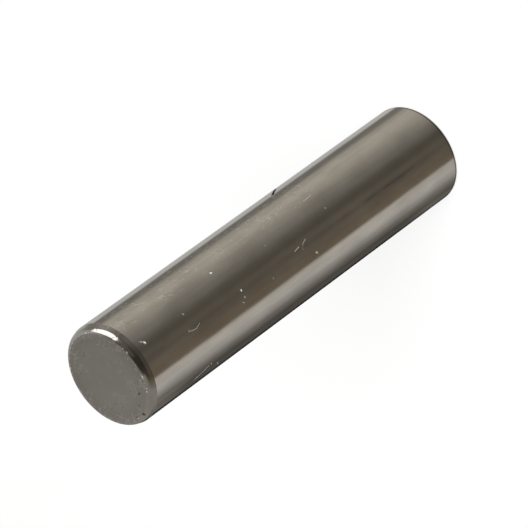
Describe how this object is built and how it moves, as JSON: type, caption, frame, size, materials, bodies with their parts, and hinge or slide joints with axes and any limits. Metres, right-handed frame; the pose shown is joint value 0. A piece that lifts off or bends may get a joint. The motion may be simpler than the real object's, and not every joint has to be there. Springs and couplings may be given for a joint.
{
  "type": "dowel pin",
  "caption": "Solid round steel dowel pin with a ground barrel, a tapered and rounded lead-in end and a plain flat end; it locates mating parts.",
  "frame": {"origin": "middle of the plain end face that the pin stands on", "axes": "+Z along the pin's axis, from the plain end to the lead-in end; X and Y are free, because the pin is round"},
  "size_m": [0.008, 0.008, 0.036],
  "materials": {
    "ground_steel": "fine ground and lightly worn"
  },
  "bodies": {
    "root": {"pin": "ground_steel"}
  },
  "joints": []
}
